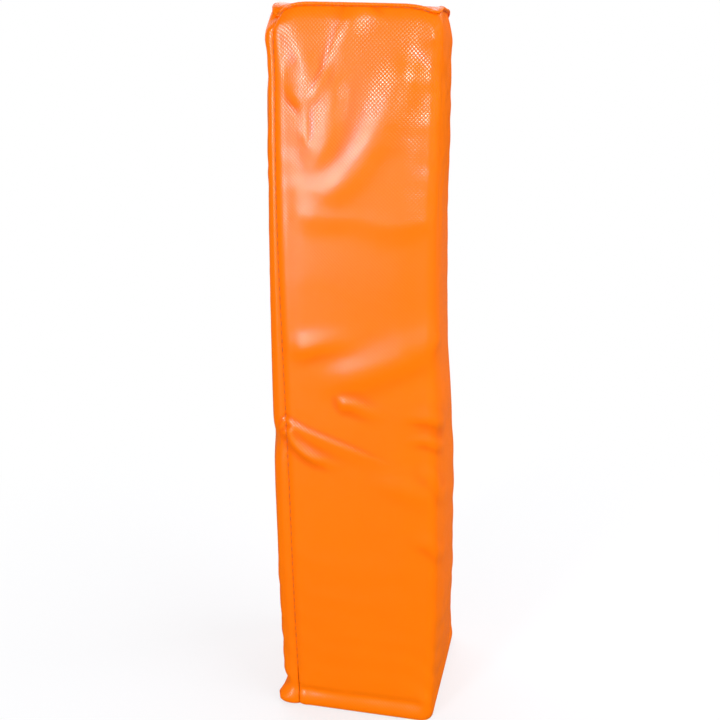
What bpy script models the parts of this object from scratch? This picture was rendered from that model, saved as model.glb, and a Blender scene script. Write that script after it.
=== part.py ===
"""Football end zone pylon: a sewn vinyl cover over a foam block that holds a pouch of sand in its base.

Metres, +Z up. The origin is the middle of the base, on the ground. The front faces -Y, and the one upright seam of
the cover runs beside its left corner. A `run` is a distance round the cover's outline, seen from above: it starts
at the middle of the front left corner and goes along the front, the right side, the back and the left side.
"""
import math

import bmesh
import bpy
from mathutils import Matrix, Vector

# Whole object
PYLON_HEIGHT = 0.4572
PYLON_WIDTH = 0.1016
CORNER_RADIUS = 0.007
FIT_GAP = 0.0003

# Cover sheets
VINYL_THICKNESS = 0.0006
FACE_CROWN = 0.0012
CROWN_RISE = 0.06

# Upright seam: where it stands at the top and at the foot, and how it is sewn
SEAM_RUN_TOP = 0.003
SEAM_RUN_FOOT = 0.011
SEAM_SLIT = 0.0004
SEAM_ALLOWANCE = 0.007
SEAM_GROOVE = 0.0006
SEAM_GROOVE_REACH = 0.0025
SEAM_RIDGE = 0.0004
SEAM_RIDGE_OFFSET = 0.004
SEAM_RIDGE_REACH = 0.002
SEAM_PLAIN_REACH = 0.028

# Foot of the cover: a folded-in edge that stands out as a band, with a crease above it
HEM_FOLD_DEPTH = 0.003
HEM_FOLD_HEIGHT = 0.007
HEM_BEND = 0.0008
HEM_BULGE = 0.0009
HEM_BULGE_HEIGHT = 0.004
HEM_CREASE = 0.0013
HEM_CREASE_RISE = 0.005
HEM_CREASE_FADE = 0.014
HEM_END_RISE = 0.008
HEM_EASE_RISE = 0.015

# Small ear of the hem at the front left corner, and the notch that the seam draws in above it
EAR_RUN = -0.006
EAR_HEIGHT = 0.002
EAR_REACH = 0.006
EAR_RISE = 0.007
EAR_STAND = 0.0014
NOTCH_RUN = -0.007
NOTCH_HEIGHT = 0.017
NOTCH_REACH = 0.009
NOTCH_RISE = 0.006
NOTCH_DEPTH = 0.0035

# Nick of the pinch fold beside the seam, and the soft dents down the right side
NICK_RUN = -0.004
NICK_HEIGHT = 0.16
NICK_REACH = 0.012
NICK_RISE = 0.012
NICK_DEPTH = 0.0012
DENT_REACH = 0.016
DENT_RISE = 0.02
DENT_DEPTH = 0.001
DENT_HEIGHT_SHARES = (0.32, 0.42, 0.52)

# Top of the cover: the wall rolls in under the roll of the top panel
TOP_ROLL_DROP = 0.003
TOP_LIP_INSET = 0.0016
TOP_SHOULDER_RISE = 0.003
TOP_SHOULDER_INSET = 0.0005
TOP_EASE_RISE = 0.014
TOP_FOLD_HEIGHT = 0.008
TOP_CORNER_DROP = 0.002
TOP_CORNER_REACH = 0.009
TOP_CORNER_FADE = 0.035

# Roll of the top panel: how far it stands out over its hanging rim
PANEL_ROLL_REACH = 0.002

# Thread
STITCH_PITCH = 0.0055
STITCH_LIFT = 0.0003
THREAD_DIAMETER = 0.0006
SEAM_LINE_DEPTH = 0.0035

# Foam block
FOAM_EDGE_RADIUS = 0.012
FOAM_EDGE_SEGMENTS = 3
FOAM_END_TAPER = 0.014
FOAM_END_CLEARANCE = 0.001
FOAM_TOP_CLEARANCE = 0.0015
FOAM_WALL = 0.011

# Ballast pouch and its sand
POUCH_THICKNESS = 0.0004
POUCH_FLANGE = 0.003
POUCH_HEIGHT = 0.095
POUCH_CORNER = 0.008
POUCH_CROWN = 0.006
POCKET_CLEARANCE = 0.002

# Every cutter runs this far past what it cuts
OVERRUN = 0.002

# Worked out from the sizes above
JOIN_DISTANCE = FIT_GAP / 10
HALF_WIDTH = PYLON_WIDTH / 2
CORNER_CENTRE = HALF_WIDTH - CORNER_RADIUS
CORNER_RUN = CORNER_RADIUS * math.pi / 2
SIDE_RUN = 2 * CORNER_CENTRE + CORNER_RUN
OUTLINE_RUN = 4 * SIDE_RUN
PLAIN_START = CORNER_RUN / 2 + SEAM_PLAIN_REACH
FOLDED_DEPTH = 2 * VINYL_THICKNESS + FIT_GAP
RIM_INSET = HEM_FOLD_DEPTH + FIT_GAP
HEM_CREASE_HEIGHT = HEM_BULGE_HEIGHT + HEM_CREASE_RISE
HEM_END_HEIGHT = HEM_CREASE_HEIGHT + HEM_END_RISE
HEM_EASE_HEIGHT = HEM_END_HEIGHT + HEM_EASE_RISE
LIP_HEIGHT = PYLON_HEIGHT - TOP_ROLL_DROP
SHOULDER_HEIGHT = LIP_HEIGHT - TOP_SHOULDER_RISE
TOP_EASE_HEIGHT = SHOULDER_HEIGHT - TOP_EASE_RISE
SEAM_THREAD_INSET = RIM_INSET + VINYL_THICKNESS + FIT_GAP + THREAD_DIAMETER / 2
FOAM_INSET = FOLDED_DEPTH + VINYL_THICKNESS + FIT_GAP
FOAM_END_INSET = SEAM_THREAD_INSET + THREAD_DIAMETER / 2 + STITCH_LIFT + FOAM_END_CLEARANCE
POCKET_HALF = HALF_WIDTH - FOAM_INSET - FOAM_WALL
BASE_HEIGHT = VINYL_THICKNESS + FIT_GAP
FLANGE_HEIGHT = BASE_HEIGHT + POUCH_HEIGHT
LID_HEIGHT = FLANGE_HEIGHT + FIT_GAP + POUCH_THICKNESS
POCKET_TOP = LID_HEIGHT + POUCH_CROWN + POCKET_CLEARANCE

# Places along one side from corner middle to corner middle, and along the wall below and above the nick
FLAT_SHARES = (0.0, 1 / 3, 2 / 3, 1.0)
LOWER_WALL_SHARES = (0.45, 1.0)
UPPER_WALL_SHARES = (0.0, 0.25, 0.5, 0.75)
SEAM_ZONE_SHARES = (0.0, 0.15, 0.5)
LEFT_ZONE_SHARES = (0.5, 1.0)
HEM_FLAT_SHARES = (2 / 3, 1 / 3)
STITCH_RISE_SHARES = (0.25, 0.75)
STITCH_MIDDLE_SHARE = 0.5

# The top panel's roll, from its rim outwards and over: shares of the roll's reach and of its drop
PANEL_ROLL_SHARES = ((0.0, 1.0), (0.6, 0.73), (1.0, 0.47), (0.7, 0.2), (-0.15, 0.1))
PANEL_SCALE_SHARES = (0.8, 0.45, 0.0)

SMOOTH_ANGLE = math.radians(50)
VINYL_ORANGE = (0.95, 0.19, 0.006)
THREAD_ORANGE = (0.75, 0.12, 0.004)
FOAM_CREAM = (0.78, 0.72, 0.55)
POUCH_WHITE = (0.7, 0.7, 0.68)
SAND_TAN = (0.45, 0.33, 0.19)
VINYL_ROUGHNESS = 0.35
THREAD_ROUGHNESS = 0.7
FOAM_ROUGHNESS = 0.95
POUCH_ROUGHNESS = 0.5
SAND_ROUGHNESS = 0.95


def mix(start, end, share):
    return start + (end - start) * share


def bump(distance, reach):
    """One at no distance, falling smoothly to nothing beyond the reach."""
    return math.exp(-((distance / reach) ** 2))


def section(run, inset=0.0):
    """Point on the rounded square outline, moved inwards by the inset."""
    side, along = divmod(run % OUTLINE_RUN, SIDE_RUN)
    past_corner = along - CORNER_RUN / 2
    flat = min(max(past_corner, 0.0), 2 * CORNER_CENTRE)
    turn = (past_corner - flat) / CORNER_RADIUS
    outward = Vector((math.sin(turn), -math.cos(turn)))
    point = Vector((flat - CORNER_CENTRE, -CORNER_CENTRE)) + outward * (CORNER_RADIUS - inset)
    return Matrix.Rotation(side * math.pi / 2, 2) @ point


def run_from(run, mark):
    """Signed distance round the outline from a mark, by the shorter way."""
    return (run - mark + OUTLINE_RUN / 2) % OUTLINE_RUN - OUTLINE_RUN / 2


def run_from_corner(run):
    """Distance round the outline from the nearest corner's middle."""
    along = run % SIDE_RUN
    return min(along, SIDE_RUN - along)


def seam_run(height):
    """Where the upright seam stands at a height: it drifts off the corner towards the foot."""
    return mix(SEAM_RUN_FOOT, SEAM_RUN_TOP, height / PYLON_HEIGHT)


def crown(run, height):
    """How far the stuffing swells the middle of a face."""
    rise = min(1.0, height / CROWN_RISE, (PYLON_HEIGHT - height) / CROWN_RISE)
    return FACE_CROWN * max(rise, 0.0) * math.sin(math.pi * (run % SIDE_RUN) / SIDE_RUN)


def seam_relief(run, height):
    """Groove along the upright seam, with a soft ridge on each side where the allowances lie under the sheet."""
    away = abs(run_from(run, seam_run(height)))
    groove = SEAM_GROOVE * bump(away, SEAM_GROOVE_REACH)
    ridge = SEAM_RIDGE * bump(away - SEAM_RIDGE_OFFSET, SEAM_RIDGE_REACH)
    return ridge - groove


def corner_marks(run, height):
    """The ear and the notch at the foot of the seam, the nick of the pinch fold, and the dents on the right."""
    ear = bump(run_from(run, EAR_RUN), EAR_REACH) * bump(height - EAR_HEIGHT, EAR_RISE)
    notch = bump(run_from(run, NOTCH_RUN), NOTCH_REACH) * bump(height - NOTCH_HEIGHT, NOTCH_RISE)
    nick = bump(run_from(run, NICK_RUN), NICK_REACH) * bump(height - NICK_HEIGHT, NICK_RISE)
    stand = EAR_STAND * ear - NOTCH_DEPTH * notch - NICK_DEPTH * nick
    for share in DENT_HEIGHT_SHARES:
        above = height - share * PYLON_HEIGHT
        for corner in (SIDE_RUN, 2 * SIDE_RUN):
            stand -= DENT_DEPTH * bump(run_from(run, corner), DENT_REACH) * bump(above, DENT_RISE)
    return stand


def corner_drop(run, height):
    """How far the top edge sinks towards each corner."""
    below = max(0.0, SHOULDER_HEIGHT - height)
    fade = max(0.0, 1.0 - below / TOP_CORNER_FADE)
    return TOP_CORNER_DROP * fade * bump(run_from_corner(run), TOP_CORNER_REACH)


def sheet_row(inset, height, kind="plain"):
    """Row of the sheet. A folded row lies flat inside, and the crease row fades towards the corners."""
    return {"inset": inset, "height": height, "kind": kind}


def wall_heights():
    """Heights of the plain rows, close together beside the nick of the pinch fold."""
    nick_foot = NICK_HEIGHT - NICK_RISE
    nick_top = NICK_HEIGHT + NICK_RISE
    heights = [HEM_END_HEIGHT, HEM_EASE_HEIGHT]
    heights += [mix(HEM_EASE_HEIGHT, nick_foot, share) for share in LOWER_WALL_SHARES]
    heights.append(NICK_HEIGHT)
    heights += [mix(nick_top, TOP_EASE_HEIGHT, share) for share in UPPER_WALL_SHARES]
    heights.append(TOP_EASE_HEIGHT)
    return heights


def wrap_rows():
    """Rows of the cover's wrap, from its folded-in foot up the outside to its folded-in top."""
    rows = [sheet_row(HEM_FOLD_DEPTH, height, "folded") for height in (HEM_FOLD_HEIGHT, HEM_BEND)]
    rows += [sheet_row(HEM_FOLD_DEPTH * share, 0.0) for share in HEM_FLAT_SHARES]
    rows.append(sheet_row(-HEM_BULGE, HEM_BULGE_HEIGHT))
    rows.append(sheet_row(HEM_CREASE, HEM_CREASE_HEIGHT, "crease"))
    rows += [sheet_row(0.0, height) for height in wall_heights()]
    rows.append(sheet_row(TOP_SHOULDER_INSET, SHOULDER_HEIGHT))
    rows.append(sheet_row(TOP_LIP_INSET, LIP_HEIGHT))
    rows += [sheet_row(HEM_FOLD_DEPTH, LIP_HEIGHT - depth, "folded") for depth in (HEM_BEND, TOP_FOLD_HEIGHT)]
    return rows


def wrap_columns():
    """Columns of the wrap, once round from the turned-in edge under the front to the one under the left side."""
    columns = [("front allowance", 1.0), ("front allowance", 0.0)]
    columns += [("front zone", share) for share in SEAM_ZONE_SHARES]
    for corner in range(1, 5):
        middle = corner * SIDE_RUN
        flat_start = max(PLAIN_START, middle - SIDE_RUN + CORNER_RUN / 2)
        flat_end = middle - CORNER_RUN / 2
        columns += [("plain", mix(flat_start, flat_end, share)) for share in FLAT_SHARES]
        columns.append(("plain", middle))
    columns += [("left zone", share) for share in LEFT_ZONE_SHARES]
    columns += [("left allowance", 0.0), ("left allowance", 1.0)]
    return columns


def column_run(column, height):
    """Distance round the outline of a column at a height: columns near the seam drift with it."""
    zone, place = column
    seam = seam_run(height)
    if zone == "front allowance":
        return seam + SEAM_SLIT / 2 + place * SEAM_ALLOWANCE
    if zone == "front zone":
        return mix(seam + SEAM_SLIT / 2, PLAIN_START, place)
    if zone == "left zone":
        return OUTLINE_RUN + place * (seam - SEAM_SLIT / 2)
    if zone == "left allowance":
        return OUTLINE_RUN + seam - SEAM_SLIT / 2 - place * SEAM_ALLOWANCE
    return place


def wrap_point(column, row):
    """Place of one grid point of the wrap's outer surface."""
    height = row["height"]
    run = column_run(column, height)
    inset = row["inset"]
    if row["kind"] == "crease":
        inset *= min(1.0, run_from_corner(run) / HEM_CREASE_FADE)
    if row["kind"] != "folded":
        inset -= crown(run, height) + seam_relief(run, height) + corner_marks(run, height)
    if column[0].endswith("allowance"):
        inset += FOLDED_DEPTH
    point = section(run, inset)
    return Vector((point.x, point.y, height - corner_drop(run, height)))


def mapped_grid(columns, rows, place):
    """Grid of points, each put in its place by its column and row. Coincident points are joined."""
    mesh = bmesh.new()
    across = len(columns) - 1
    up = len(rows) - 1
    bmesh.ops.create_grid(mesh, x_segments=across, y_segments=up, size=1.0)
    cells = {}
    for vertex in mesh.verts:
        column = round((vertex.co.x + 1) / 2 * across)
        row = round((vertex.co.y + 1) / 2 * up)
        cells[vertex] = (column, row)
    for vertex, (column, row) in cells.items():
        vertex.co = place(columns[column], rows[row])
    return mesh, cells


def finish_object(name, mesh, material, collection):
    """Put a finished bmesh into the scene as a named, smooth-shaded object."""
    data = bpy.data.meshes.new(name)
    mesh.to_mesh(data)
    mesh.free()
    data.materials.append(material)
    data.shade_smooth()
    data.set_sharp_from_angle(angle=SMOOTH_ANGLE)
    item = bpy.data.objects.new(name, data)
    collection.objects.link(item)
    return item


def thicken(item, thickness):
    """Give an open sheet its thickness, behind its outer surface."""
    shell = item.modifiers.new("thickness", "SOLIDIFY")
    shell.thickness = thickness
    shell.offset = -1.0
    shell.use_even_offset = True
    shell.use_quality_normals = True


def make_cover_wrap(material, collection):
    """One sheet round all four sides, its upright edges turned in at the seam and its ends folded in."""
    rows = wrap_rows()
    columns = wrap_columns()
    mesh, cells = mapped_grid(columns, rows, wrap_point)
    notched = []
    for vertex, (column, row) in cells.items():
        beside_end = not HEM_END_HEIGHT <= rows[row]["height"] <= TOP_EASE_HEIGHT
        if columns[column][0].endswith("allowance") and beside_end:
            notched.append(vertex)
    bmesh.ops.delete(mesh, geom=notched, context="VERTS")
    item = finish_object("cover_wrap", mesh, material, collection)
    thicken(item, VINYL_THICKNESS)


def ring_columns():
    """Runs of the points of a ring: the middle of each corner and places along each flat."""
    runs = []
    for side in range(4):
        start = side * SIDE_RUN
        runs.append(start)
        for share in FLAT_SHARES:
            runs.append(start + mix(CORNER_RUN / 2, SIDE_RUN - CORNER_RUN / 2, share))
    runs.append(OUTLINE_RUN)
    return runs


def make_ring_solid(name, rings, material, collection, thickness=None):
    """Loft through rings of one outline: each ring is an inset, a height and a share of full size."""
    def place(run, ring):
        inset, height, scale = ring
        point = section(run, inset) * scale
        drop = corner_drop(run, height) if scale == 1.0 else 0.0
        return Vector((point.x, point.y, height - drop))

    mesh, _ = mapped_grid(ring_columns(), rings, place)
    bmesh.ops.remove_doubles(mesh, verts=mesh.verts, dist=JOIN_DISTANCE)
    item = finish_object(name, mesh, material, collection)
    if thickness:
        thicken(item, thickness)
    return item


def make_top_panel(material, collection):
    """Square sheet with a rolled edge whose rim hangs inside the wrap's folded-in top."""
    rings = [(RIM_INSET, LIP_HEIGHT - TOP_FOLD_HEIGHT, 1.0)]
    for out, down in PANEL_ROLL_SHARES:
        rings.append((RIM_INSET - out * PANEL_ROLL_REACH, PYLON_HEIGHT - down * TOP_ROLL_DROP, 1.0))
    rings += [(RIM_INSET, PYLON_HEIGHT, scale) for scale in PANEL_SCALE_SHARES]
    make_ring_solid("top_panel", rings, material, collection, VINYL_THICKNESS)


def make_bottom_panel(material, collection):
    """Flat square sheet that the pylon stands on, with its rim turned up inside the folded-in foot."""
    rings = [(RIM_INSET, 0.0, scale) for scale in reversed(PANEL_SCALE_SHARES)]
    rings += [(RIM_INSET + HEM_BEND, 0.0, 1.0), (RIM_INSET, HEM_BEND, 1.0), (RIM_INSET, HEM_FOLD_HEIGHT, 1.0)]
    make_ring_solid("bottom_panel", rings, material, collection, VINYL_THICKNESS)


def make_thread(name, points, closed, material, collection):
    """One unbroken thread through a list of points."""
    curve = bpy.data.curves.new(name, "CURVE")
    curve.dimensions = "3D"
    curve.bevel_depth = THREAD_DIAMETER / 2
    curve.bevel_resolution = 1
    curve.use_fill_caps = True
    spline = curve.splines.new("POLY")
    spline.points.add(len(points) - 1)
    for point, place in zip(spline.points, points):
        point.co = (*place, 1.0)
    spline.use_cyclic_u = closed
    curve.materials.append(material)
    collection.objects.link(bpy.data.objects.new(name, curve))


def seam_point(height, lift):
    """Place of the thread in the seam's groove at a height, carried by the wrap's own straight facets."""
    rows = [row for row in wrap_rows() if row["kind"] == "plain" and row["height"] >= HEM_END_HEIGHT]
    below = max((row for row in rows if row["height"] <= height), key=lambda row: row["height"])
    above = min((row for row in rows if row["height"] > height), key=lambda row: row["height"])
    share = (height - below["height"]) / (above["height"] - below["height"])
    ends = []
    for row in (below, above):
        level = row["height"]
        run = seam_run(level)
        inset = row["inset"] - crown(run, level) - seam_relief(run, level) - corner_marks(run, level)
        point = section(run, inset - FIT_GAP - THREAD_DIAMETER / 2 - lift)
        ends.append(Vector((point.x, point.y, level - corner_drop(run, level))))
    return ends[0].lerp(ends[1], share)


def make_side_seam_thread(material, collection):
    """Thread up the groove of the upright seam: it dips at each needle hole and stands proud between them."""
    first = HEM_EASE_HEIGHT
    count = int((TOP_EASE_HEIGHT - first) / STITCH_PITCH)
    points = []
    for number in range(count):
        hole = first + number * STITCH_PITCH
        points.append(seam_point(hole, 0.0))
        for share in STITCH_RISE_SHARES:
            points.append(seam_point(hole + share * STITCH_PITCH, STITCH_LIFT))
    points.append(seam_point(first + count * STITCH_PITCH, 0.0))
    make_thread("side_seam_thread", points, False, material, collection)


def make_end_seam_thread(name, height, material, collection):
    """Thread once round the inner face of a panel's rim, a stitch at a time."""
    count = int(OUTLINE_RUN / STITCH_PITCH)
    points = []
    for number in range(count):
        for share, lift in ((0.0, 0.0), (STITCH_MIDDLE_SHARE, STITCH_LIFT)):
            run = (number + share) / count * OUTLINE_RUN
            point = section(run, SEAM_THREAD_INSET + lift)
            points.append(Vector((point.x, point.y, height - corner_drop(run, height))))
    make_thread(name, points, True, material, collection)


def foam_levels():
    """Heights of the foam's four-cornered rings with their insets: its ends are drawn in beside the folded edges."""
    foot_end = HEM_FOLD_HEIGHT + FOAM_END_CLEARANCE
    head_end = LIP_HEIGHT - TOP_FOLD_HEIGHT - TOP_CORNER_DROP - FOAM_END_CLEARANCE
    head = PYLON_HEIGHT - VINYL_THICKNESS - FOAM_TOP_CLEARANCE
    levels = [(BASE_HEIGHT, FOAM_END_INSET), (foot_end, FOAM_END_INSET), (foot_end + FOAM_END_TAPER, FOAM_INSET)]
    levels += [(head_end - FOAM_END_TAPER, FOAM_INSET), (head_end, FOAM_END_INSET), (head, FOAM_END_INSET)]
    return levels


def make_pocket_cutter(material, cutters):
    """Cutter of the pocket that opens at the foam's foot."""
    mesh = bmesh.new()
    size = Matrix.Diagonal((2 * POCKET_HALF, 2 * POCKET_HALF, POCKET_TOP + OVERRUN, 1.0))
    middle = Matrix.Translation((0.0, 0.0, (POCKET_TOP - OVERRUN) / 2))
    bmesh.ops.create_cube(mesh, size=1.0, matrix=middle @ size)
    cutter = finish_object("pocket_cutter", mesh, material, cutters)
    cutter.hide_render = True
    cutter.display_type = "WIRE"
    return cutter


def make_foam_core(material, collection, cutters):
    """Foam block with drawn-in ends and eased upright edges, and a pocket in its base for the ballast pouch."""
    mesh = bmesh.new()
    loops = []
    for height, inset in foam_levels():
        radius = (HALF_WIDTH - inset) * math.sqrt(2)
        loop = bmesh.ops.create_circle(mesh, cap_ends=False, segments=4, radius=radius)
        turn = Matrix.Translation((0.0, 0.0, height)) @ Matrix.Rotation(math.pi / 4, 4, "Z")
        bmesh.ops.transform(mesh, matrix=turn, verts=loop["verts"])
        loops.append(loop["verts"])
    for lower, upper in zip(loops, loops[1:]):
        edges = {edge for vertex in lower + upper for edge in vertex.link_edges}
        rims = [edge for edge in edges if len({vertex.co.z for vertex in edge.verts}) == 1]
        bmesh.ops.bridge_loops(mesh, edges=rims)
    bmesh.ops.holes_fill(mesh, edges=mesh.edges)
    bmesh.ops.recalc_face_normals(mesh, faces=mesh.faces)
    upright = [edge for edge in mesh.edges if abs(edge.verts[0].co.z - edge.verts[1].co.z) > FIT_GAP]
    bmesh.ops.bevel(mesh, geom=upright, offset=FOAM_EDGE_RADIUS, segments=FOAM_EDGE_SEGMENTS, profile=0.5,
                    affect="EDGES")
    item = finish_object("foam_core", mesh, material, collection)
    cut = item.modifiers.new("pocket", "BOOLEAN")
    cut.operation = "DIFFERENCE"
    cut.object = make_pocket_cutter(material, cutters)


def pouch_ring(inset, height, scale=1.0):
    """Ring of the pouch or its sand: its inset from the pocket's walls, its height and its share of full size."""
    return {"half": POCKET_HALF - inset, "height": height, "scale": scale}


def make_pouch_solid(name, rings, material, collection, thickness=None):
    """Loft through square rings with cut corners."""
    corner_shares = ((-1, -1), (1, -1), (1, 1), (-1, 1), (-1, -1))
    columns = []
    for here, there in zip(corner_shares, corner_shares[1:]):
        columns += [(here, there, 0.0), (here, there, 1.0)]
    columns.append(columns[0])

    def place(column, ring):
        here, there, end = column
        half = ring["half"]
        along = Vector(there) - Vector(here)
        ease = POUCH_CORNER / 2 if end == 0.0 else 2 * half - POUCH_CORNER / 2
        point = (Vector(here) * half + along / 2 * ease) * ring["scale"]
        return Vector((point.x, point.y, ring["height"]))

    mesh, _ = mapped_grid(columns, rings, place)
    bmesh.ops.remove_doubles(mesh, verts=mesh.verts, dist=JOIN_DISTANCE)
    item = finish_object(name, mesh, material, collection)
    if thickness:
        thicken(item, thickness)


def make_ballast(pouch_material, sand_material, collection):
    """Sand in a sealed pouch: a deep body and a crowned lid, welded along their flanges."""
    wall = FIT_GAP + POUCH_FLANGE
    body = [pouch_ring(wall + POUCH_CORNER, BASE_HEIGHT, 0.0), pouch_ring(wall + POUCH_CORNER / 2, BASE_HEIGHT)]
    body += [pouch_ring(wall, BASE_HEIGHT + POUCH_CORNER / 2), pouch_ring(wall, FLANGE_HEIGHT - POUCH_THICKNESS)]
    body += [pouch_ring(FIT_GAP, FLANGE_HEIGHT - POUCH_THICKNESS)]
    make_pouch_solid("ballast_pouch_body", body, pouch_material, collection, POUCH_THICKNESS)
    crown_inset = wall + POUCH_CORNER
    lid = [pouch_ring(FIT_GAP, LID_HEIGHT), pouch_ring(wall, LID_HEIGHT)]
    lid += [pouch_ring(crown_inset, LID_HEIGHT + POUCH_CROWN, scale) for scale in (1.0, 0.0)]
    make_pouch_solid("ballast_pouch_lid", lid, pouch_material, collection, POUCH_THICKNESS)
    inside = wall + POUCH_THICKNESS + FIT_GAP
    base = BASE_HEIGHT + POUCH_THICKNESS + FIT_GAP
    sand_top = FLANGE_HEIGHT + POUCH_CROWN - FIT_GAP
    sand = [pouch_ring(inside + POUCH_CORNER, base, 0.0), pouch_ring(inside + POUCH_CORNER / 2, base)]
    sand += [pouch_ring(inside, base + POUCH_CORNER / 2), pouch_ring(inside, FLANGE_HEIGHT - FIT_GAP)]
    sand += [pouch_ring(inside + POUCH_CORNER, sand_top, scale) for scale in (1.0, 0.0)]
    make_pouch_solid("ballast_sand", sand, sand_material, collection)


def make_material(name, colour, roughness):
    material = bpy.data.materials.new(name)
    material.use_nodes = True
    shader = material.node_tree.nodes["Principled BSDF"]
    shader.inputs["Base Color"].default_value = (*colour, 1.0)
    shader.inputs["Roughness"].default_value = roughness
    shader.inputs["Metallic"].default_value = 0.0
    return material


def make_collection(name):
    collection = bpy.data.collections.new(name)
    bpy.context.scene.collection.children.link(collection)
    return collection


def main():
    for item in list(bpy.data.objects):
        bpy.data.objects.remove(item, do_unlink=True)
    pylon = make_collection("football_end_zone_pylon")
    cutters = make_collection("cutters")
    make_cover_wrap(make_material("wrap vinyl", VINYL_ORANGE, VINYL_ROUGHNESS), pylon)
    make_top_panel(make_material("top vinyl", VINYL_ORANGE, VINYL_ROUGHNESS), pylon)
    make_bottom_panel(make_material("bottom vinyl", VINYL_ORANGE, VINYL_ROUGHNESS), pylon)
    make_side_seam_thread(make_material("side thread", THREAD_ORANGE, THREAD_ROUGHNESS), pylon)
    for name, height in (("top", LIP_HEIGHT - SEAM_LINE_DEPTH), ("bottom", SEAM_LINE_DEPTH)):
        thread = make_material(name + " thread", THREAD_ORANGE, THREAD_ROUGHNESS)
        make_end_seam_thread(name + "_seam_thread", height, thread, pylon)
    make_foam_core(make_material("foam", FOAM_CREAM, FOAM_ROUGHNESS), pylon, cutters)
    pouch_film = make_material("pouch film", POUCH_WHITE, POUCH_ROUGHNESS)
    make_ballast(pouch_film, make_material("sand", SAND_TAN, SAND_ROUGHNESS), pylon)


main()
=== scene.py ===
import math

import bmesh
import bpy
import numpy as np
from mathutils import Matrix, Vector


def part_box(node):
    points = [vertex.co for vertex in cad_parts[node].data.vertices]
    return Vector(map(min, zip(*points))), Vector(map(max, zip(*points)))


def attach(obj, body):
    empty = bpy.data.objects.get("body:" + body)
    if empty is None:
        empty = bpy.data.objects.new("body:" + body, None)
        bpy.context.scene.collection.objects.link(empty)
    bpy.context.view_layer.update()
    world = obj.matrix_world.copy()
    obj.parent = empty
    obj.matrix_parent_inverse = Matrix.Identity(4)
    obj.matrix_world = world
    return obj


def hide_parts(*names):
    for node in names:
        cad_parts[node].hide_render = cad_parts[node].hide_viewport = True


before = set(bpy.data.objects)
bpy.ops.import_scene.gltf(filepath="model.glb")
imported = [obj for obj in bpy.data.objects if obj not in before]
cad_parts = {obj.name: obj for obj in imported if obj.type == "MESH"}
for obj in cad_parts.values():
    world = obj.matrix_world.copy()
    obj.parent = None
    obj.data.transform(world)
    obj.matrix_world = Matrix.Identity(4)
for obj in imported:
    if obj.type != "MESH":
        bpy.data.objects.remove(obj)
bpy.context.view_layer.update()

# Looks of a football end zone pylon: a sewn vinyl cover stuffed with foam, with a pouch of sand in its base
#
# Shapes are worked out in millimetres and put into the scene in metres. A `run` is a distance round the
# cover's outline, seen from above: it starts at the middle of the front left corner and goes along the front,
# the right side, the back and the left side. A `stand` is how far a point stands out from that outline.

MM = 0.001
COVER_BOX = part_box("cover_wrap")
TOP_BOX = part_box("top_panel")
BOTTOM_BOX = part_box("bottom_panel")
FOAM_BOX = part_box("foam_core")
POUCH_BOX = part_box("ballast_pouch_body")
LID_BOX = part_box("ballast_pouch_lid")
SAND_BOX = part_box("ballast_sand")

# Whole cover
RIM_INSET = 3.3
CORNER_RADIUS = 7.0
PYLON_HEIGHT = TOP_BOX[1][2] / MM
LIP_HEIGHT = COVER_BOX[1][2] / MM
PYLON_WIDTH = (BOTTOM_BOX[1][0] - BOTTOM_BOX[0][0]) / MM + 2 * RIM_INSET
HALF_WIDTH = PYLON_WIDTH / 2
CORNER_CENTRE = HALF_WIDTH - CORNER_RADIUS
CORNER_RUN = CORNER_RADIUS * math.pi / 2
SIDE_RUN = 2 * CORNER_CENTRE + CORNER_RUN
OUTLINE_RUN = 4 * SIDE_RUN

# How the stuffed pylon has settled: a twist, a lean and a bow to the left, and a foot spread by the sand
TWIST = math.radians(3.2)
LEAN = -3.7
BOW = -4.3
FOOT_SPREAD = 0.08
FACE_CROWN = 1.2
CROWN_RISE = 60.0

# Upright seam
SEAM_RUN_TOP = 3.6
SEAM_RUN_FOOT = 10.6
SEAM_DRIFT_START_SHARE = 0.3
SEAM_SLIT = 0.04
SEAM_OPENING = 0.12
SEAM_OPENING_HEIGHT = 40.0
SEAM_OPENING_REACH = 3.0
SEAM_GROOVE = 0.6
SEAM_GROOVE_REACH = 1.5
SEAM_RIDGE = 0.3
SEAM_RIDGE_OFFSET = 4.2
SEAM_RIDGE_REACH = 2.4
SEAM_ZONE = 9.0
SEAM_DRIFT_REACH = 28.0
STITCH_PITCH = 5.5
STITCH_LENGTH = 3.3
STITCH_PULL_SHARE = 0.3
STITCH_PUCKER_SHARE = 0.04

# Edge turned in at the seam, as (run past the slit, depth)
FOLDED_SECTION = ((7.0, 1.5), (0.9, 1.5), (0.2, 1.1), (0.0, 0.6), (0.0, 0.25), (0.1, 0.03))

# Foot of the cover
FOLD_DEPTH = 3.0
FOLD_HEIGHT = 7.0
HEM_ROUND = 1.6
HEM_BULGE = 1.0
HEM_BULGE_HEIGHT = 4.5
HEM_BULGE_RISE = 4.5
HEM_CREASE = 1.1
HEM_CREASE_HEIGHT = 13.0
HEM_CREASE_RISE = 3.2
HEM_CREASE_FADE = 14.0
HEM_WAVER_SHARE = 0.25
HEM_WAVER_REACHES = (9.0, 23.0)

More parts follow.
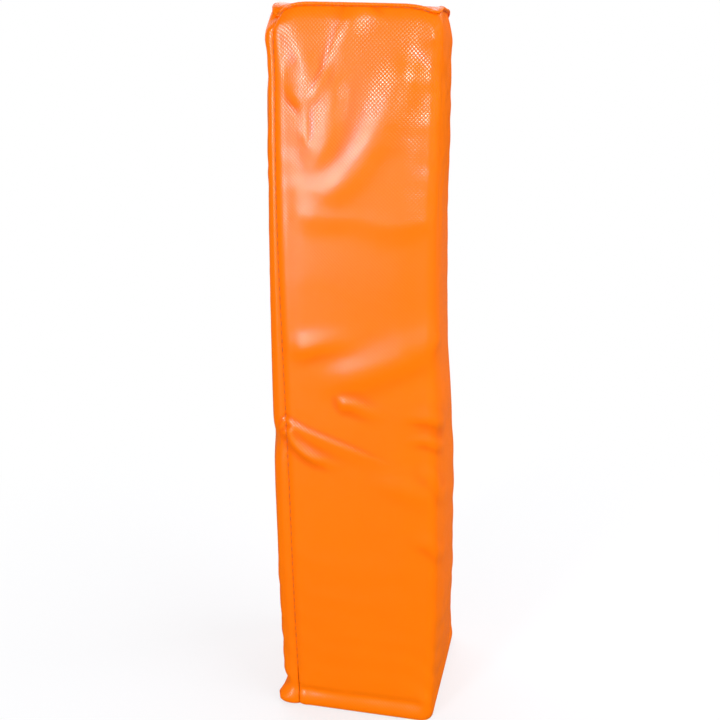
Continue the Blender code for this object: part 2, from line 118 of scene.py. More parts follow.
# Top of the cover
TOP_ROLL = 3.0
TOP_LIP_INSET = 2.0
TOP_ROLL_IN = 8.0
TOP_RIM_DEPTH = 8.0
TOP_CORNER_DROPS = (6.4, 3.0, 6.6, 3.4)
TOP_CORNER_REACH = 10.5
TOP_CORNER_FADE = 35.0
TOP_LIFT = 3.2
TOP_LIFT_FADE = 70.0
TOP_LIFT_ZONE = 9.0
TOP_LIFT_MEAN_SHARE = 0.42
TOP_LIFT_SWING_SHARE = 0.58
TOP_LIFT_TURN_SHARE = 0.2
CORNER_BALL = 9.0
CORNER_BALL_REACH = 7.0
CORNER_BALL_DEPTH_SHARE = 0.75
CORNER_BALL_ARC_SHARE = 0.95
CORNER_BALL_SHARES = (1.0, 0.35, 1.1, 0.7)
PANEL_ROLL_REACH = 2.0
WALL_TOP = LIP_HEIGHT + 0.8


def mix(start, end, share):
    """Value at a share of the way from the start to the end."""
    return start + (end - start) * share


def bump(distance, reach):
    """One at no distance, falling smoothly to nothing beyond the reach."""
    return np.exp(-((distance / reach) ** 2))


def smooth_step(value, start, end):
    """Nothing below the start, one above the end, and a smooth rise between them."""
    share = np.clip((value - start) / (end - start), 0.0, 1.0)
    return share * share * (3 - 2 * share)


def smooth_fall(value, start, end):
    """One below the start, nothing above the end, and a smooth fall between them."""
    return smooth_step(-value, -end, -start)


def run_from(run, mark):
    """Signed distance round the outline from a mark, by the shorter way."""
    return np.mod(run - mark + OUTLINE_RUN / 2, OUTLINE_RUN) - OUTLINE_RUN / 2


def run_from_corner(run):
    """Distance round the outline from the nearest corner's middle."""
    along = np.mod(run, SIDE_RUN)
    return np.minimum(along, SIDE_RUN - along)


def outline(run, stand):
    """Point on the rounded square outline, standing out from it."""
    wrapped = np.mod(run, OUTLINE_RUN)
    side = np.floor(wrapped / SIDE_RUN)
    past_corner = wrapped - side * SIDE_RUN - CORNER_RUN / 2
    flat = np.clip(past_corner, 0.0, 2 * CORNER_CENTRE)
    turn = (past_corner - flat) / CORNER_RADIUS
    x = flat - CORNER_CENTRE + np.sin(turn) * (CORNER_RADIUS + stand)
    y = -CORNER_CENTRE - np.cos(turn) * (CORNER_RADIUS + stand)
    angle = side * math.pi / 2
    return x * np.cos(angle) - y * np.sin(angle), x * np.sin(angle) + y * np.cos(angle)


def settle(x, y, height):
    """Place of a point of the straight pylon on the settled one."""
    share = height / PYLON_HEIGHT
    turn = TWIST * (share - 0.5)
    spread = 1 + FOOT_SPREAD * (0.5 - share)
    aside = LEAN * (share - 0.5) + BOW * 4 * share * (1 - share)
    settled_x = (x * np.cos(turn) - y * np.sin(turn)) * spread + aside
    settled_y = (x * np.sin(turn) + y * np.cos(turn)) * spread
    return np.stack([settled_x, settled_y, height + 0 * settled_x], axis=-1)


def seam_run(height):
    """Where the upright seam stands at a height: it drifts off the corner towards the foot."""
    rise = smooth_step(height, SEAM_DRIFT_START_SHARE * PYLON_HEIGHT, PYLON_HEIGHT)
    return mix(SEAM_RUN_FOOT, SEAM_RUN_TOP, rise)


def crown(run, height):
    """How far the stuffing swells the middle of a face."""
    rise = np.clip(np.minimum(height, PYLON_HEIGHT - height) / CROWN_RISE, 0.0, 1.0)
    return FACE_CROWN * rise * np.sin(np.pi * np.mod(run, SIDE_RUN) / SIDE_RUN)


def corner_drop(run, height):
    """How far the top edge sinks towards each corner."""
    fade = np.clip(1.0 - (LIP_HEIGHT - TOP_ROLL - height) / TOP_CORNER_FADE, 0.0, 1.0)
    total = np.zeros(np.shape(run))
    for number, drop in enumerate(TOP_CORNER_DROPS):
        total = total + drop * bump(run_from(run, number * SIDE_RUN), TOP_CORNER_REACH)
    return total * fade


LONG_FOLD = ((88, 433), (82, 423), (75, 409), (70, 396), (62, 381), (50, 366), (36, 356), (22, 351))

# Wrinkles: each is a smooth path of (run, height) with its rise, its reach to the left of the way that the
# path goes and to the right of it, seen from outside, and the shares of it over which it grows and fades
WRINKLES = (
    # Bowed fold from the top left corner, whose slope towards the seam shines
    (((8, 451), (14.5, 441), (19, 433), (22.5, 425), (24, 418)), 0.55, 9.0, 3.4, 0.15, 0.5),
    (((20, 432), (22.5, 425), (24, 418), (21.5, 410), (15, 403)), 1.2, 9.0, 10.0, 0.4, 0.2),
    # Line that comes down from the top edge to the foot of the bowed fold
    (((46, 450), (40, 433), (35.5, 421), (30, 412), (24, 405)), 0.55, 3.5, 2.2, 0.3, 0.3),
    # Two folds from the middle of the top edge, and the one under them whose slope towards the seam shines
    (((57, 459), (51, 449), (47, 438), (44.5, 425), (43, 412)), 1.2, 9.0, 6.0, 0.1, 0.35),
    (((57, 461), (52, 450), (47, 441), (45, 432)), 0.7, 6.0, 10.0, 0.1, 0.6),
    (((43.5, 428), (41, 414), (39.5, 403), (37.5, 388), (31, 377), (20, 371)), 1.9, 8.5, 11.0, 0.3, 0.3),
    # Short fold between it and the seam
    (((23, 405), (24.5, 396), (24.5, 386), (23, 376)), 0.5, 1.6, 9.0, 0.25, 0.5),
    # Long fold across the face from the upper right, and the wide swell that carries it
    (LONG_FOLD, 1.6, 9.0, 10.5, 0.2, 0.3),
    (LONG_FOLD, 0.7, 32.0, 10.5, 0.2, 0.3),
    # Low swells across the middle of the face, and a short fold under them
    (((8, 258), (20, 260), (34, 264), (50, 267), (66, 268)), 1.6, 8.0, 6.0, 0.35, 0.7),
    (((112, 284), (98, 270), (84, 259), (71, 252), (56, 245), (42, 240), (24, 236)),
     1.9, 9.0, 12.0, 0.3, 0.35),
    (((42, 225), (50, 226.5), (60, 223), (74, 217)), 1.5, 4.6, 4.0, 0.25, 0.6),
    # Pinched fold that leaves the seam: a sharp upper line, a bowed lower one and the soft end of both
    (((7, 213.5), (16, 209), (26.5, 204.5), (39, 200), (54, 194.5), (66, 189.5), (84, 182)),
     0.8, 2.2, 6.0, 0.06, 0.5),
    (((9, 207), (14, 199), (20, 193), (27.5, 188.5), (35, 186), (46, 181)), 1.9, 4.2, 3.0, 0.06, 0.5),
    (((60, 178), (76, 173), (92, 167), (104, 166)), 0.9, 9.0, 7.0, 0.4, 0.4),
    # Creases that start on the right corner
    (((112, 272), (103, 268), (96, 270)), 0.6, 4.0, 5.0, 0.3, 0.4),
    (((122, 206), (106, 214), (94, 219), (76, 220)), 1.0, 3.0, 6.0, 0.25, 0.4),
    (((120, 192), (104, 200), (92, 205), (80, 203)), 0.7, 3.0, 4.0, 0.25, 0.4),
    (((124, 160), (108, 166), (98, 180), (88, 190)), 0.9, 5.0, 5.0, 0.25, 0.4),
    (((122, 118), (106, 124), (94, 134), (82, 136)), 0.8, 4.0, 6.0, 0.25, 0.4),
)

# The pinched fold's zone, which gets closer rows
PINCH_FOOT = 180.0
PINCH_TOP = 218.0


def smooth_path(points, steps=12):
    """Points of a smooth line through the given ones."""
    marks = np.array(points, dtype=float)
    marks = np.vstack([2 * marks[0] - marks[1], marks, 2 * marks[-1] - marks[-2]])
    share = np.linspace(0.0, 1.0, steps, endpoint=False)[:, None]
    line = []
    for before, here, there, after in zip(marks, marks[1:], marks[2:], marks[3:]):
        line.append(here + share * (there - before) / 2
                    + share ** 2 * (2 * before - 5 * here + 4 * there - after) / 2
                    + share ** 3 * (3 * here - before - 3 * there + after) / 2)
    return np.vstack(line + [marks[-2:-1]])


def from_path(line, run, height):
    """Distance of each place from a line, positive on its left, and its share of the way along the line."""
    nearest = np.full(run.shape, np.inf)
    across = np.zeros(run.shape)
    along = np.zeros(run.shape)
    count = len(line) - 1
    for number, (start, end) in enumerate(zip(line, line[1:])):
        step = end - start
        away_run = run_from(run, start[0])
        away_height = height - start[1]
        share = np.clip((away_run * step[0] + away_height * step[1]) / (step @ step), 0.0, 1.0)
        gap = np.hypot(away_run - share * step[0], away_height - share * step[1])
        side = np.sign(step[0] * away_height - step[1] * away_run)
        closer = gap < nearest
        nearest = np.where(closer, gap, nearest)
        across = np.where(closer, gap * side, across)
        along = np.where(closer, (number + share) / count, along)
    return across, along


def wrinkle_relief(run, height):
    """All the wrinkles: soft ridges, steeper on one side than on the other."""
    total = np.zeros(run.shape)
    for path, rise, left, right, grow, fade in WRINKLES:
        line = smooth_path(path)
        margin = 3 * max(left, right)
        middle = (line.min(axis=0) + line.max(axis=0)) / 2
        span = (line.max(axis=0) - line.min(axis=0)) / 2 + margin
        near = (np.abs(run_from(run, middle[0])) < span[0]) & (np.abs(height - middle[1]) < span[1])
        across, along = from_path(line, run[near], height[near])
        reach = np.where(across > 0, left, right)
        ends = smooth_step(along, 0.0, grow) * smooth_step(1 - along, 0.0, fade)
        total[near] += rise * ends * bump(across, reach)
    return total


# Ledge across the front: the height that it wavers about, its reaches below and above, and the runs over
# which it starts and ends
SHELF_HEIGHT = 342.0
SHELF_RISE = 1.2
SHELF_REACH_BELOW = 9.0
SHELF_REACH_ABOVE = 26.0
SHELF_START = (12.0, 30.0)
SHELF_END = (88.0, 104.0)


def shelf_relief(run, height):
    """Ledge across the front where the stuffing ends its bulge: short below, and long and soft above."""
    line = SHELF_HEIGHT + 2.0 * np.sin(run / 17) + 1.0 * np.sin(run / 7)
    above = height - line
    fading = np.exp(-np.maximum(above, 0.0) / SHELF_REACH_ABOVE)
    profile = np.where(above > 0, fading, bump(above, SHELF_REACH_BELOW))
    across = smooth_step(run, *SHELF_START) * smooth_fall(run, *SHELF_END)
    return SHELF_RISE * across * profile


# How much each corner is rounded off by the soft foam, from the front left one round, and the heights over
# which that starts above the stiff foot and ends below the stiff top
CORNER_SOFTNESS = (2.9, 2.2, 1.6, 1.2)
CORNER_SOFT_REACH = 12.0
CORNER_SOFT_START = (4.0, 40.0)
CORNER_SOFT_END = (415.0, 456.0)


def soft_corners(run, height):
    """How far the upright corners give way between the stiff top and foot."""
    free = smooth_step(height, *CORNER_SOFT_START) * smooth_fall(height, *CORNER_SOFT_END)
    total = np.zeros(run.shape)
    for number, softness in enumerate(CORNER_SOFTNESS):
        total += softness * bump(run_from(run, number * SIDE_RUN), CORNER_SOFT_REACH)
    return -total * free


def seam_relief(run, height):
    """Groove along the upright seam, drawn deeper at each stitch, with a soft ridge on each side."""
    away = np.abs(run_from(run, seam_run(height)))
    pull = 1 + STITCH_PULL_SHARE * np.cos(2 * np.pi * height / STITCH_PITCH)
    groove = SEAM_GROOVE * pull * bump(away, SEAM_GROOVE_REACH)
    ridge = SEAM_RIDGE * bump(away - SEAM_RIDGE_OFFSET, SEAM_RIDGE_REACH)
    return ridge - groove


# Marks beside the seam: the middle of each as (run, height), its rise, and its reaches round and up
SEAM_MARKS = (
    # Ear of the hem, notch above the ear, and nick where the pinched fold starts
    ((-3, 3), 3.0, 6, 4.5),
    ((-6, 15.5), -4.4, 9, 5),
    ((-4, 196), -2.4, 12, 9),
)

# Dents down the back right corner as (height, depth), and how much higher the back left corner has them
CORNER_DENTS = ((140, 1.0), (192, 1.0), (238, 1.0), (330, 0.8))
CORNER_DENT_STEP = 40
CORNER_DENT_REACH = 16
CORNER_DENT_RISE = 20


def marks_relief(marks, run, height):
    """Round soft marks, each given by its middle, its rise and its reaches round and up."""
    total = np.zeros(run.shape)
    for (middle, level), rise, reach, up_reach in marks:
        total += rise * (bump(run_from(run, middle), reach) * bump(height - level, up_reach))
    return total


def corner_relief(run, height):
    """Ear and notch at the foot of the seam, nick of the pinched fold, and dents down the back corners."""
    marks = list(SEAM_MARKS)
    for level, depth in CORNER_DENTS:
        for corner, step in ((2, 0), (3, CORNER_DENT_STEP)):
            middle = (corner * SIDE_RUN, level + step)
            marks.append((middle, -depth, CORNER_DENT_REACH, CORNER_DENT_RISE))
    return marks_relief(marks, run, height)


# Swells and hollows of the side faces, given like the marks beside the seam
SIDE_SWELLS = (
    ((150, 345), -1.4, 34, 70),
    ((150, 165), 4.6, 34, 70),
    ((126, 226), 1.6, 30, 13),
    ((150, 85), 2.0, 34, 38),
    ((150, 455), -2.4, 40, 40),
    ((372, 330), 0.5, 42, 120),
    ((372, 120), 0.5, 42, 70),
)


def hem_relief(run, height):
    """Rounded foot, the band of the folded edge and the crease above it."""
    below = np.clip((HEM_ROUND - height) / HEM_ROUND, 0.0, 1.0)
    rounding = HEM_ROUND * (1 - np.sqrt(1 - below ** 2))
    band = HEM_BULGE * bump(height - HEM_BULGE_HEIGHT, HEM_BULGE_RISE)
    fade = np.clip(run_from_corner(run) / HEM_CREASE_FADE, 0.0, 1.0)
    short_waver, long_waver = HEM_WAVER_REACHES
    waver = 1 + HEM_WAVER_SHARE * np.sin(run / short_waver) * np.sin(run / long_waver)
    crease = HEM_CREASE * fade * waver * bump(height - HEM_CREASE_HEIGHT, HEM_CREASE_RISE)
    return band - crease - rounding


def top_relief(run, height):
    """Wall drawn in under the roll of the top panel, puckered a little by the stitches."""
    share = np.clip((height - WALL_TOP + TOP_ROLL_IN) / TOP_ROLL_IN, 0.0, 1.0) ** 2
    pucker = 1 + STITCH_PUCKER_SHARE * np.cos(2 * np.pi * run / STITCH_PITCH)
    return -TOP_LIP_INSET * share * pucker


# Trial sleeve for the cloth simulation, in millimetres. It is a little bigger than what it starts on
TRIAL_CELL = 6.0
TRIAL_FRAMES = 20
TRIAL_CAP = 1.8
TRIAL_FOAM_GAP = 1.2
TRIAL_CONTACT = 0.5
TRIAL_GROWTH_SHARE = 0.012
TRIAL_CLOTH = {
    "quality": 5,
    "mass": 0.2,
    "tension_stiffness": 40.0,
    "compression_stiffness": 40.0,
    "shear_stiffness": 20.0,
    "bending_stiffness": 8.0,
    "use_pressure": True,
    "uniform_pressure_force": 4.0,
    "shrink_min": -TRIAL_GROWTH_SHARE,
    "shrink_max": -TRIAL_GROWTH_SHARE,
    "vertex_group_mass": "held",
}

# Share of the simulated movement that the front keeps, and the runs over which it changes at its two edges
FRONT_EASE_SHARE = 0.3
FRONT_EASE_START = 4.0
FRONT_EASE_END = 12.0
EASE = {}


def simulate_sleeve():
    """Blow up a coarse sleeve, a little too big for its foam, and keep how far each point moves out."""
    across = round(OUTLINE_RUN / TRIAL_CELL)
    up = round(LIP_HEIGHT / TRIAL_CELL)
    runs = np.arange(across) / across * OUTLINE_RUN
    heights = np.linspace(0.0, LIP_HEIGHT, up + 1)
    run, height = np.meshgrid(runs, heights)
    EASE["moved"] = np.zeros(run.shape)
    start = cover_point(run, height, crown(run, height))
    sleeve = make_grid_piece("trial_sleeve", start, start[..., :2], None, closed=True)
    inside = cover_point(run, height, crown(run, height) - TRIAL_FOAM_GAP)
    foam = make_grid_piece("trial_foam", inside, start[..., :2], None, closed=True)
    foam.modifiers.new("stop", "COLLISION")
    foam.collision.thickness_outer = TRIAL_CONTACT * MM
    held = sleeve.vertex_groups.new(name="held")
    last = across * (up + 1)
    held.add(list(range(2 * across)) + list(range(last - 2 * across, last)), 1.0, "REPLACE")
    cloth = sleeve.modifiers.new("cloth", "CLOTH")
    for setting, value in TRIAL_CLOTH.items():
        setattr(cloth.settings, setting, value)
    cloth.settings.effector_weights.gravity = 0.0
    cloth.collision_settings.distance_min = TRIAL_CONTACT * MM
    cloth.collision_settings.use_self_collision = False
    scene = bpy.context.scene
    for number in range(1, TRIAL_FRAMES + 1):
        scene.frame_set(number)
    shown = sleeve.evaluated_get(bpy.context.evaluated_depsgraph_get())
    flat = np.zeros(run.size * 3, dtype=np.float32)
    shown.data.vertices.foreach_get("co", flat)
    moved = flat.reshape(start.shape) / MM - start
    outward = unit(cover_point(run, height, crown(run, height) + 1.0) - start)
    EASE["moved"] = np.clip((moved * outward).sum(axis=-1), -TRIAL_CAP, TRIAL_CAP)
    for trial in (sleeve, foam):
        bpy.data.objects.remove(trial, do_unlink=True)
    scene.frame_set(1)


def spline_weights(share):
    """Weights of the four neighbours in a smooth cubic blend."""
    rest = 1 - share
    before = rest ** 3 / 6
    here = (3 * share ** 3 - 6 * share ** 2 + 4) / 6
    there = (3 * rest ** 3 - 6 * rest ** 2 + 4) / 6
    after = share ** 3 / 6
    return before, here, there, after


def eased_relief(run, height):
    """The simulated movement at any place, held back on the front, whose folds are listed."""
    moved = EASE["moved"]
    rows, columns = moved.shape
    across = np.mod(run, OUTLINE_RUN) / OUTLINE_RUN * columns
    up = np.clip(height / LIP_HEIGHT, 0.0, 1.0) * (rows - 1)
    column = np.floor(across).astype(int)
    row = np.floor(up).astype(int)
    total = np.zeros(run.shape)
    for row_step, row_weight in enumerate(spline_weights(up - row)):
        for column_step, column_weight in enumerate(spline_weights(across - column)):
            values = moved[np.clip(row + row_step - 1, 0, rows - 1), (column + column_step - 1) % columns]
            total += values * row_weight * column_weight
    past_corner = run_from(run, 0)
    on_front = smooth_step(past_corner, -FRONT_EASE_START, FRONT_EASE_START)
    on_front = on_front * smooth_fall(past_corner, SIDE_RUN - FRONT_EASE_END, SIDE_RUN)
    return total * mix(1.0, FRONT_EASE_SHARE, on_front)


def cover_stand(run, height):
    """How far the cover stands out from its outline."""
    relief = crown(run, height) + seam_relief(run, height) + corner_relief(run, height)
    relief += hem_relief(run, height) + top_relief(run, height)
    swells = marks_relief(SIDE_SWELLS, run, height)
    relief += wrinkle_relief(run, height) + shelf_relief(run, height) + swells
    relief += soft_corners(run, height) + eased_relief(run, height)
    return relief


def top_lift(run, height):
    """How far the top's rim is lifted by the stuffing, most at the front left."""
    fade = smooth_step(height, LIP_HEIGHT - TOP_LIFT_FADE, LIP_HEIGHT)
    turn = 2 * np.pi * (run + TOP_LIFT_TURN_SHARE * SIDE_RUN) / OUTLINE_RUN
    to_left = TOP_LIFT_MEAN_SHARE + TOP_LIFT_SWING_SHARE * np.cos(turn)
    return TOP_LIFT * to_left * fade


def corner_ball(run, height):
    """Share by which the top's corners are drawn in, so that each is rounded upwards too."""
    near_top = np.clip((height - (LIP_HEIGHT - CORNER_BALL)) / CORNER_BALL, 0.0, 1.0)
    arc = 1 - np.sqrt(1 - CORNER_BALL_ARC_SHARE * near_top ** 2)
    drawn_in = CORNER_BALL * CORNER_BALL_DEPTH_SHARE * arc
    total = np.zeros(np.shape(run))
    for number, share in enumerate(CORNER_BALL_SHARES):
        total = total + share * bump(run_from(run, number * SIDE_RUN), CORNER_BALL_REACH)
    return drawn_in / (HALF_WIDTH * math.sqrt(2)) * total


# How far the stuffing has pushed the front right corner to the right, as (height, shift)
RIGHT_SHIFTS = ((0, -1.6), (25, 1.0), (80, 4.4), (160, 5.2), (230, 4.6), (300, 3.4), (370, 2.6), (460, 2.0))
RIGHT_SHIFT_START = 50.0
RIGHT_SHIFT_REACH = 62.0


def right_shift(run, height):
    """Sideways shift of the front right corner: it stretches the front and swells the side behind it."""
    heights, shifts = zip(*RIGHT_SHIFTS)
    on_front = smooth_step(run_from(run, SIDE_RUN), RIGHT_SHIFT_START - SIDE_RUN, 0.0)
    behind = bump(np.maximum(run_from(run, SIDE_RUN), 0.0), RIGHT_SHIFT_REACH)
    return np.interp(height, heights, shifts) * on_front * behind


def cover_point(run, height, stand):
    """Place on the settled pylon of a point that stands out from the outline."""
    x, y = outline(run, stand)
    size = 1 - corner_ball(run, height)
    aside = right_shift(run, height)
    return settle(x * size + aside, y * size, height + top_lift(run, height) - corner_drop(run, height))


def stepped(start, end, step):
    """Even steps from a start to an end, both included, of about the given size."""
    count = max(1, round((end - start) / step))
    return list(np.linspace(start, end, count + 1))


# Distances between the points of the cover's grid
SEAM_CELL = 0.5
FRONT_CELL = 1.2
CORNER_CELL = 1.3
BACK_CELL = 2.6
LAST_CORNER_CELL = 1.0
FOOT_CELL = 1.1
HEAD_CELL = 1.0
FIRST_COLUMN = SEAM_SLIT / 2 + 0.9
FOOT_ZONE = 20.0
HEAD_ZONE = 440.0

# Folded foot and top as (height, depth inside), and the first heights of the wall between them
FOOT_SECTION = ((FOLD_HEIGHT, FOLD_DEPTH), (1.2, FOLD_DEPTH), (0.35, FOLD_DEPTH - 0.35),
                (0.0, FOLD_DEPTH - 1.0))
HEAD_SECTION = ((WALL_TOP, TOP_LIP_INSET + 0.9), (WALL_TOP - 0.5, FOLD_DEPTH),
                (LIP_HEIGHT - TOP_RIM_DEPTH, FOLD_DEPTH))
WALL_START = [0.0, 0.25, 0.8]
WALL_START_TOP = 1.6


def cover_columns():
    """Runs measured from the seam, once round: fine beside it, medium on the front and coarse behind."""
    runs = stepped(FIRST_COLUMN, SEAM_ZONE, SEAM_CELL)
    runs += stepped(SEAM_ZONE, SIDE_RUN - CORNER_RUN, FRONT_CELL)[1:]
    for corner in range(1, 4):
        middle = corner * SIDE_RUN
        runs += stepped(middle - CORNER_RUN, middle + CORNER_RUN, CORNER_CELL)[1:]
        runs += stepped(middle + CORNER_RUN, (corner + 1) * SIDE_RUN - CORNER_RUN, BACK_CELL)[1:]
    runs += stepped(OUTLINE_RUN - CORNER_RUN, OUTLINE_RUN - SEAM_ZONE, LAST_CORNER_CELL)[1:]
    runs += stepped(OUTLINE_RUN - SEAM_ZONE, OUTLINE_RUN - FIRST_COLUMN, SEAM_CELL)[1:]
    return np.array(runs)


def cover_grid_columns():
    """Base runs and depths of the columns, with the edges turned in on both sides of the seam."""
    edge = [(SEAM_SLIT / 2 + offset, depth) for offset, depth in FOLDED_SECTION]
    plain = [(run, 0.0) for run in cover_columns()]
    far_edge = [(OUTLINE_RUN - run, depth) for run, depth in reversed(edge)]
    return np.array(edge + plain + far_edge)


def cover_grid_rows():
    """Heights of the rows with their depths inside: the folded foot, the wall and the folded top."""
    wall = WALL_START + stepped(WALL_START_TOP, FOOT_ZONE, FOOT_CELL)
    wall += stepped(FOOT_ZONE, PINCH_FOOT, STITCH_PITCH / 3)[1:]
    wall += stepped(PINCH_FOOT, PINCH_TOP, STITCH_PITCH / 6)[1:]
    wall += stepped(PINCH_TOP, HEAD_ZONE, STITCH_PITCH / 3)[1:]
    wall += stepped(HEAD_ZONE, WALL_TOP, HEAD_CELL)[1:]
    return np.array(list(FOOT_SECTION) + [(height, 0.0) for height in wall] + list(HEAD_SECTION))


def seam_slide(base, height):
    """Run of a column at a height: columns near the seam drift with it, and its slit opens at the foot."""
    side = run_from(base, 0.0)
    away = np.abs(side)
    open_foot = SEAM_OPENING * smooth_fall(height, SEAM_OPENING_HEIGHT / 2, SEAM_OPENING_HEIGHT)
    opened = np.sign(side) * open_foot * bump(away, SEAM_OPENING_REACH)
    return base + opened + seam_run(height) * np.clip(1 - (away - SEAM_ZONE) / SEAM_DRIFT_REACH, 0.0, 1.0)


def grid_faces(rows, columns, closed):
    """Corner numbers of the faces of a grid, counter-clockwise seen from outside."""
    across = columns if closed else columns - 1
    row, column = np.meshgrid(np.arange(rows - 1), np.arange(across), indexing="ij")
    beside = (column + 1) % columns
    corners = [row * columns + column, row * columns + beside, (row + 1) * columns + beside,
               (row + 1) * columns + column]
    return np.stack(corners, axis=-1).reshape(-1, 4)


def make_grid_piece(name, points, cloth, material, closed=False):
    """Object from a grid of points in millimetres, with its cloth coordinates as a UV map in metres."""
    rows, columns = points.shape[:2]
    faces = grid_faces(rows, columns, closed)
    mesh = bpy.data.meshes.new(name)
    mesh.from_pydata((points * MM).reshape(-1, 3).tolist(), [], faces.tolist())
    layer = mesh.uv_layers.new(name="cloth")
    layer.data.foreach_set("uv", (cloth * MM).reshape(-1, 2)[faces.ravel()].astype(np.float32).ravel())
    mesh.materials.append(material)
    mesh.shade_smooth()
    piece = bpy.data.objects.new(name, mesh)
    bpy.context.scene.collection.objects.link(piece)
    return piece


def weld(piece, distance=0.01):
    """Join coincident points of a finished piece and turn its faces outwards."""
    mesh = bmesh.new()
    mesh.from_mesh(piece.data)
    bmesh.ops.remove_doubles(mesh, verts=mesh.verts, dist=distance * MM)
    bmesh.ops.recalc_face_normals(mesh, faces=mesh.faces)
    mesh.to_mesh(piece.data)
    mesh.free()
    piece.data.shade_smooth()


def set_attribute(piece, name, values):
    """Put one number on each point of a piece."""
    attribute = piece.data.attributes.new(name, "FLOAT", "POINT")
    attribute.data.foreach_set("value", values.astype(np.float32).ravel())


def make_cover(material):
    """The wrap: one sheet once round, its upright edges turned in at the seam and its ends folded in."""
    columns = cover_grid_columns()
    rows = cover_grid_rows()
    base, height = np.meshgrid(columns[:, 0], rows[:, 0])
    depth = columns[None, :, 1] + 0 * base
    run = seam_slide(base, height)
    folded = rows[:, 1:2] + 0 * base
    relief = np.where(folded > 0, -folded, cover_stand(run, height))
    points = cover_point(run, height, relief - depth)
    cloth = np.stack([run, height], axis=-1)
    piece = make_grid_piece("cover_sleeve", points, cloth, material)
    # Painted shade mask: how hollow the wrinkles are, so that the vinyl is painted darker orange in their
    # creases
    crease = smooth_step(wrinkle_hollow(run, height), 0.0, CREASE_DEPTH)
    set_attribute(piece, "crease", crease)
    return piece


# How far around a place its hollow is measured, and the hollow that counts as a full crease, which gets the
# full painted shade
HOLLOW_REACH = 3.0
CREASE_DEPTH = 0.12


def wrinkle_hollow(run, height):
    """How hollow the surface is: the relief's mean around a place less the relief there, in millimetres."""
    around = wrinkle_relief(run + HOLLOW_REACH, height) + wrinkle_relief(run - HOLLOW_REACH, height)
    around += wrinkle_relief(run, height + HOLLOW_REACH) + wrinkle_relief(run, height - HOLLOW_REACH)
    return around / 4 - wrinkle_relief(run, height)


# How fast the rim's shapes die away towards the middle of a panel, as powers of a ring's share of full size
BALL_POWER = 6
SHIFT_POWER = 2
DROP_POWER = 12


def loft(name, rings, material):
    """Closed piece through rings of the outline: each ring is (stand, height, share of full size)."""
    runs = ring_runs()
    points = []
    for stand, height, scale in rings:
        x, y = outline(runs, stand)
        size = scale * (1 - scale ** BALL_POWER * corner_ball(runs, height))
        aside = scale ** SHIFT_POWER * right_shift(runs, height)
        drop = scale ** DROP_POWER * corner_drop(runs, height)
        lift = 0.0
        if height > LIP_HEIGHT - TOP_LIFT_ZONE:
            lift = mix(TOP_LIFT / 2, top_lift(runs, height), scale)
        points.append(settle(x * size + aside, y * size, height + lift - drop))
    points = np.array(points)
    cloth = points[..., :2]
    piece = make_grid_piece(name, points, cloth, material, closed=True)
    weld(piece)
    return piece


def ring_runs(flat_step=3.0, corner_step=1.2):
    """Runs of the points of a ring, closer together at the corners."""
    runs = []
    for side in range(4):
        start = side * SIDE_RUN
        runs += stepped(start - CORNER_RUN / 2, start + CORNER_RUN / 2, corner_step)[:-1]
        runs += stepped(start + CORNER_RUN / 2, start + SIDE_RUN - CORNER_RUN / 2, flat_step)[:-1]
    return np.array(runs)


# Turns of the top panel's roll from its foot to its crown in degrees, and the shallow dish behind it
ROLL_TURNS = (-70, 90)
ROLL_POINTS = 9
TOP_DISH = 0.6
TOP_DISH_START = 0.25
TOP_DISH_SHARES = (0.91, 0.87, 0.8, 0.65, 0.45, 0.22, 0.0)


def make_top_panel(material):
    """Square sheet with a rolled edge whose rim hangs inside the folded-in top of the wrap."""
    half_roll = (PYLON_HEIGHT - WALL_TOP) / 2
    middle = PYLON_HEIGHT - half_roll
    rings = [(-RIM_INSET, LIP_HEIGHT - TOP_RIM_DEPTH, 1.0), (-RIM_INSET, WALL_TOP - 1.0, 1.0)]
    for turn in np.linspace(*ROLL_TURNS, ROLL_POINTS):
        angle = math.radians(turn)
        out = PANEL_ROLL_REACH * math.cos(angle)
        rings.append((out - RIM_INSET, middle + half_roll * math.sin(angle), 1.0))
    rings.append((-RIM_INSET, PYLON_HEIGHT - TOP_DISH_START, 0.975))
    rings.append((-RIM_INSET, PYLON_HEIGHT - TOP_DISH, 0.945))
    for scale in TOP_DISH_SHARES:
        rings.append((-RIM_INSET, PYLON_HEIGHT - TOP_DISH * scale, scale))
    return loft("top_sheet", rings, material)


# Bend of the bottom panel's rim, as (distance in from the rim, height), and the shares of its flat part
BOTTOM_BEND = ((1.0, 0.0), (0.3, 0.3), (0.0, 1.0), (0.0, FOLD_HEIGHT))
BOTTOM_FLAT_SHARES = (0.0, 0.3, 0.6, 0.85, 0.96)


def make_bottom_panel(material):
    """Flat square sheet that the pylon stands on, its rim turned up inside the folded-in foot."""
    rings = [(-RIM_INSET - BOTTOM_BEND[0][0], 0.0, scale) for scale in BOTTOM_FLAT_SHARES]
    rings += [(-RIM_INSET - inset, height, 1.0) for inset, height in BOTTOM_BEND]
    return loft("bottom_sheet", rings, material)


def colour(code):
    """Linear colour from an sRGB hex code."""
    values = [int(code[place:place + 2], 16) / 255 for place in (1, 3, 5)]
    linear = [value / 12.92 if value <= 0.04045 else ((value + 0.055) / 1.055) ** 2.4 for value in values]
    return (*linear, 1.0)


def add_node(tree, kind, inputs=None, **settings):
    """Add a node, set its properties, and set or link its inputs by name or number."""
    node = tree.nodes.new(kind)
    for name, value in settings.items():
        setattr(node, name, value)
    for name, value in (inputs or {}).items():
        if isinstance(value, bpy.types.NodeSocket):
            tree.links.new(value, node.inputs[name])
        else:
            node.inputs[name].default_value = value
    return node


def new_material(name):
    """Material with a plain Principled shader, and its parts."""
    material = bpy.data.materials.new(name)
    material.use_nodes = True
    tree = material.node_tree
    return material, tree, tree.nodes["Principled BSDF"]


